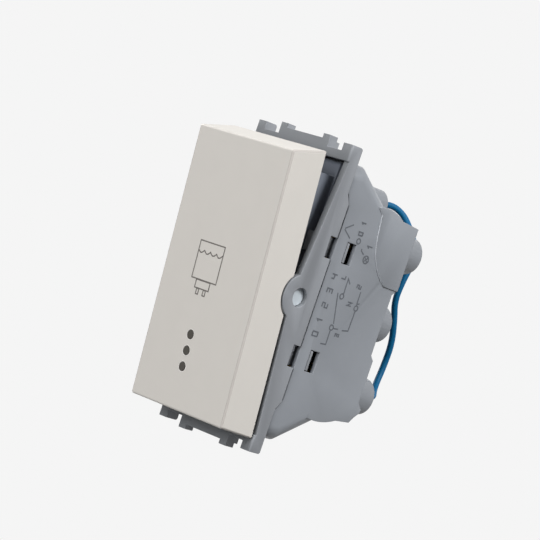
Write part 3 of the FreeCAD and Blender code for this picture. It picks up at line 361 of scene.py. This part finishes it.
# Painted shade: the rounds along the face's long edges get a darker white than the face.
edge_painted_shade = finish(
    "edge_painted_shade", shade(180, 175, 170), 0.5, grain=WHITE_GRAIN, depth=0.06, edge=KEY_EDGE
)
paint("rocker_key", key_white)
key_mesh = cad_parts["rocker_key"].data
key_mesh.materials.append(pin_painted_shade)
key_mesh.materials.append(edge_painted_shade)
middles = of_faces(key_mesh, "center")
facing = of_faces(key_mesh, "normal")
reach = np.abs(middles[:, 0])
slant = np.abs(facing[:, 0])
from_pivot = np.hypot(middles[:, 1] - KEY_PIVOT.y, middles[:, 2] - KEY_PIVOT.z)
on_shaded_pin = (from_pivot < PIN_REACH) & (reach > PIN_START)
# Faces painted with shade: the rounds between the face and the sides, outboard of the edge start.
on_shaded_edge = (slant > EDGE_SLANT[0]) & (slant < EDGE_SLANT[1]) & (facing[:, 1] < 0)
on_shaded_edge &= reach > EDGE_START
finishes = np.where(on_shaded_pin, 1, np.where(on_shaded_edge, 2, 0)).astype(np.int32)
key_mesh.polygons.foreach_set("material_index", finishes)
plunger_white = finish("plunger_white", shade(230, 230, 224), 0.3, grain=1500.0)
paint("plunger", plunger_white)
paint("plunger_spring", plated_steel)

# Indicator windows
# Three studs of smoked plastic on one bar, put in from behind the key's plate. They stand flush
# in its face and let the lamp's light through.
window_smoked = finish("window_smoked", shade(56, 52, 44), 0.34, grain=800.0, depth=0.01)
paint("indicator_windows", window_smoked)

# Symbol on the key
# A water heater in thin grey print: a case with a wave of water near its top, a smaller box under
# it and two pipe stubs. Each line is a flat strip that lies on the face.
KEY_TILT = math.radians(5.78)
KEY_FACE = -9.41 * MM
PRINT_LIFT = 0.012 * MM
PRINT_LAYER = 0.001 * MM
SYMBOL_LINE = 0.21
# Left, right, low and high of each box, in mm on the face.
CASE = (-4.05, 1.82, -1.43, 4.66)
LOWER_BOX = (-2.83, 0.5, -2.82, -1.5)
STUBS = ((-2.25, -1.72), (-0.66, -0.1))
STUB_ENDS = (-3.77, -2.88)
WAVE_LEVEL = 2.98
WAVE_HEIGHT = 0.24
WAVE_LENGTH = 1.45
WAVE_CREST = -1.2
WAVE_POINTS = 90
MITRE_FLOOR = 0.3


def strip(points, width, closed=False):
    """Strip of a given width along a line in a plane: each point moves both ways along the mitre
    of its two neighbouring runs, so that both edges stay parallel to the runs."""
    line = np.asarray(points, float)
    before = line - np.roll(line, 1, axis=0)
    after = np.roll(line, -1, axis=0) - line
    if not closed:
        before[0], after[-1] = after[0], before[-1]
    before /= np.linalg.norm(before, axis=1, keepdims=True)
    after /= np.linalg.norm(after, axis=1, keepdims=True)
    normal = np.stack([-before[:, 1], before[:, 0]], 1) + np.stack([-after[:, 1], after[:, 0]], 1)
    normal /= np.linalg.norm(normal, axis=1, keepdims=True)
    along = np.stack([-after[:, 1], after[:, 0]], 1)
    reach = width / 2 / np.maximum((normal * along).sum(1, keepdims=True), MITRE_FLOOR)
    corners = np.concatenate([line + normal * reach, line - normal * reach])
    count = len(line)
    first = np.arange(count if closed else count - 1)
    following = (first + 1) % count
    return corners, np.stack([first + count, following + count, following, first], 1)


def rectangle(left, right, low, high):
    """Corners of an upright rectangle, in turn: each is its left or right with its low or high."""
    return [(left, low), (right, low), (right, high), (left, high)]


def printed(name, strips, place, material, body):
    """One mesh of flat strips, put on a surface by a function from its plane to the row frame.
    Each strip lies a hair above the one before it, so that none share a plane where they cross."""
    corners, faces, count = [], [], 0
    for order, (points, quads) in enumerate(strips):
        corners.append(place(points * MM, PRINT_LIFT + order * PRINT_LAYER))
        faces.append(quads + count)
        count += len(points)
    mesh = bpy.data.meshes.new(name)
    mesh.from_pydata(np.concatenate(corners).tolist(), [], np.concatenate(faces).tolist())
    mesh.materials.append(material)
    piece = bpy.data.objects.new(name, mesh)
    bpy.context.scene.collection.objects.link(piece)
    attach(piece, body)


def on_key(points, lift):
    """Face of the key to the row frame: the key's tilt about its pivot, just above the face."""
    depth = np.full(len(points), KEY_FACE - lift)
    rearward = depth * math.cos(KEY_TILT) - points[:, 1] * math.sin(KEY_TILT)
    upward = depth * math.sin(KEY_TILT) + points[:, 1] * math.cos(KEY_TILT)
    return np.stack([points[:, 0], rearward, upward], 1) + np.array(KEY_PIVOT)


across = np.linspace(CASE[0], CASE[1], WAVE_POINTS)
dip = np.abs(np.sin((across - WAVE_CREST) / WAVE_LENGTH * math.pi))
water = WAVE_LEVEL + WAVE_HEIGHT * (1 - 2 * dip)
symbol = [
    strip(rectangle(*CASE), SYMBOL_LINE, closed=True),
    strip(rectangle(*LOWER_BOX), SYMBOL_LINE, closed=True),
    strip(np.stack([across, water], 1), SYMBOL_LINE),
]
for left, right in STUBS:
    symbol.append(strip(rectangle(left, right, *STUB_ENDS), SYMBOL_LINE, closed=True))
symbol_grey = finish("symbol_grey", shade(100, 96, 92), 0.5)
printed("heater_symbol", symbol, on_key, symbol_grey, "key")

# Window rims
# A fine light ring round each window, a painted highlight where the key's skin turns into the hole.
# Each is a thin flat ring, painted lighter than the key, that lies on the face and moves with the
# key.
WINDOW_SIDE = -0.95
WINDOW_MIDDLE = -12.81
WINDOW_PITCH = 2.625
RIM_RADIUS = 0.86
RIM_LINE = 0.1
RIM_POINTS = 48


def ring(middle, radius, count):
    """Points of a circle: its middle plus its radius times cosine and sine of even turns."""
    turns = np.arange(count) / count * 2 * math.pi
    return np.asarray(middle) + radius * np.stack([np.cos(turns), np.sin(turns)], 1)


# Painted highlight: the rims are a lighter white than the key round them.
rim_painted_highlight = finish(
    "rim_painted_highlight", shade(236, 233, 228), 0.35, grain=WHITE_GRAIN, depth=0.02, spread=WHITE_SPREAD
)
rims = []
for step in (-1, 0, 1):
    window = (WINDOW_SIDE, WINDOW_MIDDLE + WINDOW_PITCH * step)
    rims.append(strip(ring(window, RIM_RADIUS, RIM_POINTS), RIM_LINE, closed=True))
printed("window_rim_highlights", rims, on_key, rim_painted_highlight, "key")

# Circuit drawing
# A plain wiring diagram in thin grey print on the right side of the housing: open nodes joined by
# lines, a crossed lamp, and plain small numbers and letters that read upward.
HOUSING_SIDE = 11.0 * MM
DIAGRAM_LINE = 0.23
SMALL_NODE = 0.42
LAMP_NODE = 0.62
LAMP_CROSS = 0.7 * LAMP_NODE
LAMP_PLACE = (8.93, 9.15)
NODE_POINTS = 28
# Middles of the nodes and points of the lines, each as mm rearward and mm upward.
NODES = ((6.4, 2.35), (6.45, -2.9), (10.4, 1.25), (5.98, 11.55))
RUNS = (
    ((5.3, 2.7), (6.65, -2.25)),
    ((6.62, 2.85), (6.55, 5.35), (7.3, 4.6)),
    ((8.06, 9.8), (7.3, 10.28), (7.25, 10.6)),
    ((10.25, 4.0), (10.3, 1.85), (10.85, 2.15)),
    ((10.45, 0.7), (10.33, -2.62), (8.95, -2.85)),
    ((7.0, -2.95), (8.0, -2.85)),
    ((6.4, -3.45), (6.44, -5.75), (5.2, -5.85)),
    ((2.1, 12.75), (3.75, 13.75)),
    ((2.1, 12.6), (3.85, 11.5)),
)
# Strokes of each character, on a field 0.6 wide and 1 high.
STROKES = {
    "0": (((0, 0), (0.6, 0), (0.6, 1), (0, 1), (0, 0)),),
    "1": (((0, 0.75), (0.3, 1), (0.3, 0)),),
    "2": (((0, 1), (0.6, 1), (0.6, 0.5), (0, 0.5), (0, 0), (0.6, 0)),),
    "3": (((0, 1), (0.6, 1), (0.6, 0), (0, 0)), ((0.1, 0.5), (0.6, 0.5))),
    "4": (((0, 1), (0, 0.5), (0.6, 0.5)), ((0.6, 1), (0.6, 0))),
    "L": (((0, 1), (0, 0), (0.6, 0)),),
    "N": (((0, 0), (0, 1), (0.6, 0), (0.6, 1)),),
}
# Text, its place rearward, where it starts upward and its height, in mm.
LETTERING = (
    ("1", 9.5, 11.0, 1.1),
    ("2", 9.95, 4.4, 0.9),
    ("L", 5.85, 5.1, 0.9),
    ("N", 9.1, 1.3, 0.9),
    ("3", 8.6, -4.1, 0.8),
    ("0 1 2 3 4", 3.95, -5.0, 1.2),
    ("0 1", 6.35, 12.5, 0.9),
)


def lettering(text, rearward, start, height):
    """Strips of a text that reads upward: each stroke is scaled and turned, its up to the front."""
    found = []
    for place, letter in enumerate(text):
        for stroke in STROKES.get(letter, ()):
            line = np.asarray(stroke, float) * height
            turned = np.stack([rearward - line[:, 1], start + place * height + line[:, 0]], 1)
            found.append(strip(turned, DIAGRAM_LINE))
    return found


def on_side(points, lift):
    """Side plane to the row frame: just outside the right side of the housing."""
    return np.stack([np.full(len(points), HOUSING_SIDE + lift), points[:, 0], points[:, 1]], 1)


diagram = [strip(run, DIAGRAM_LINE) for run in RUNS]
for place in NODES:
    diagram.append(strip(ring(place, SMALL_NODE, NODE_POINTS), DIAGRAM_LINE, closed=True))
diagram.append(strip(ring(LAMP_PLACE, LAMP_NODE, NODE_POINTS), DIAGRAM_LINE, closed=True))
for side in (-1, 1):
    arm = np.array([LAMP_CROSS, LAMP_CROSS * side])
    diagram.append(strip([LAMP_PLACE - arm, LAMP_PLACE + arm], DIAGRAM_LINE))
for item in LETTERING:
    diagram += lettering(*item)
diagram_grey = finish("diagram_grey", shade(84, 88, 94), 0.5)
printed("circuit_print", diagram, on_side, diagram_grey, "module")

# Room
# A pale floor far below the switch, clear from underneath, and a pale surround. Large soft lamps
# light the switch from the front right, from high on the right, from the left and from behind.
PALE = shade(245, 245, 245)
FLOOR_LEVEL = -0.09
FLOOR_HALF = 6.0
FLOOR_ROUGHNESS = 0.9
FLOOR_BOUNCE = shade(40, 40, 40)
LIGHT_BELOW = 0.0
LIGHT_ABOVE = 0.42
LIGHT_HEIGHTS = (-0.2, 0.8)
SHADOW_NEAR = 0.1
SHADOW_FAR = 0.3
SHADOW_SHARE = 0.2
# Name, place, width in metres and power in watts.
LAMPS = (
    ("left_lamp", (-0.8, -0.1, 0.3), 0.4, 2.5),
    ("rear_lamp", (-0.5, 0.85, 0.1), 0.5, 1.2),
    ("front_lamp", (0.22, -0.87, 0.25), 0.5, 6.8),
    ("right_lamp", (0.42, 0.03, 0.36), 0.22, 2.6),
)


def room_ray(nodes, links):
    """1 for a ray that shows the room itself: from the camera, off gloss or through glass."""
    rays = nodes.new("ShaderNodeLightPath")
    first = nodes.new("ShaderNodeMath")
    first.operation = "MAXIMUM"
    second = nodes.new("ShaderNodeMath")
    second.operation = "MAXIMUM"
    links.new(rays.outputs["Is Camera Ray"], first.inputs[0])
    links.new(rays.outputs["Is Glossy Ray"], first.inputs[1])
    links.new(first.outputs[0], second.inputs[0])
    links.new(rays.outputs["Is Transmission Ray"], second.inputs[1])
    return second.outputs[0]


world = bpy.data.worlds.new("surround")
world.use_nodes = True
bpy.context.scene.world = world
nodes, links = world.node_tree.nodes, world.node_tree.links
seen = nodes["Background"]
seen.inputs["Color"].default_value = (*PALE, 1)
lighting = nodes.new("ShaderNodeBackground")
lighting.inputs["Color"].default_value = (1.0, 1.0, 1.0, 1)
direction = nodes.new("ShaderNodeTexCoord")
parts = nodes.new("ShaderNodeSeparateXYZ")
height = nodes.new("ShaderNodeMapRange")
height.inputs["From Min"].default_value = LIGHT_HEIGHTS[0]
height.inputs["From Max"].default_value = LIGHT_HEIGHTS[1]
height.inputs["To Min"].default_value = LIGHT_BELOW
height.inputs["To Max"].default_value = LIGHT_ABOVE
links.new(direction.outputs["Generated"], parts.inputs[0])
links.new(parts.outputs["Z"], height.inputs["Value"])
links.new(height.outputs["Result"], lighting.inputs["Strength"])
choice = nodes.new("ShaderNodeMixShader")
links.new(room_ray(nodes, links), choice.inputs["Fac"])
links.new(lighting.outputs[0], choice.inputs[1])
links.new(seen.outputs[0], choice.inputs[2])
links.new(choice.outputs[0], nodes["World Output"].inputs["Surface"])

floor_mesh = bpy.data.meshes.new("floor")
floor_corners = rectangle(-FLOOR_HALF, FLOOR_HALF, -FLOOR_HALF, FLOOR_HALF)
floor_points = np.insert(floor_corners, 2, FLOOR_LEVEL, axis=1)
floor_mesh.from_pydata(floor_points.tolist(), [], [(0, 1, 2, 3)])
floor = bpy.data.objects.new("floor", floor_mesh)
bpy.context.scene.collection.objects.link(floor)
floor_pale = bpy.data.materials.new("floor_pale")
floor_pale.use_nodes = True
nodes, links = floor_pale.node_tree.nodes, floor_pale.node_tree.links
matt = nodes["Principled BSDF"]
tint = nodes.new("ShaderNodeMixRGB")
tint.inputs["Color1"].default_value = (*FLOOR_BOUNCE, 1)
tint.inputs["Color2"].default_value = (*PALE, 1)
links.new(room_ray(nodes, links), tint.inputs["Fac"])
links.new(tint.outputs["Color"], matt.inputs["Base Color"])
matt.inputs["Roughness"].default_value = FLOOR_ROUGHNESS
glow = nodes.new("ShaderNodeEmission")
glow.inputs["Color"].default_value = (*PALE, 1)
place = nodes.new("ShaderNodeTexCoord")
distance = nodes.new("ShaderNodeVectorMath")
distance.operation = "LENGTH"
links.new(place.outputs["Object"], distance.inputs[0])
fade = nodes.new("ShaderNodeMapRange")
fade.inputs["From Min"].default_value = SHADOW_NEAR
fade.inputs["From Max"].default_value = SHADOW_FAR
fade.inputs["To Min"].default_value = 1 - SHADOW_SHARE
fade.inputs["To Max"].default_value = 1.0
links.new(distance.outputs["Value"], fade.inputs["Value"])
share = nodes.new("ShaderNodeMath")
share.operation = "MULTIPLY"
links.new(fade.outputs["Result"], share.inputs[1])
links.new(room_ray(nodes, links), share.inputs[0])
blend = nodes.new("ShaderNodeMixShader")
links.new(share.outputs[0], blend.inputs["Fac"])
links.new(matt.outputs[0], blend.inputs[1])
links.new(glow.outputs[0], blend.inputs[2])
side = nodes.new("ShaderNodeNewGeometry")
clear = nodes.new("ShaderNodeBsdfTransparent")
one_sided = nodes.new("ShaderNodeMixShader")
links.new(side.outputs["Backfacing"], one_sided.inputs["Fac"])
links.new(blend.outputs[0], one_sided.inputs[1])
links.new(clear.outputs[0], one_sided.inputs[2])
links.new(one_sided.outputs[0], nodes["Material Output"].inputs["Surface"])
floor_mesh.materials.append(floor_pale)


def lamp(name, place, size, power):
    """A square soft lamp of a given width and power that faces the switch from its place."""
    data = bpy.data.lights.new(name, "AREA")
    data.shape = "SQUARE"
    data.size = size
    data.energy = power
    piece = bpy.data.objects.new(name, data)
    piece.location = place
    piece.rotation_mode = "QUATERNION"
    piece.rotation_quaternion = (-Vector(place)).to_track_quat("-Z", "Y")
    bpy.context.scene.collection.objects.link(piece)


for item in LAMPS:
    lamp(*item)
bpy.context.scene.view_settings.view_transform = "Standard"
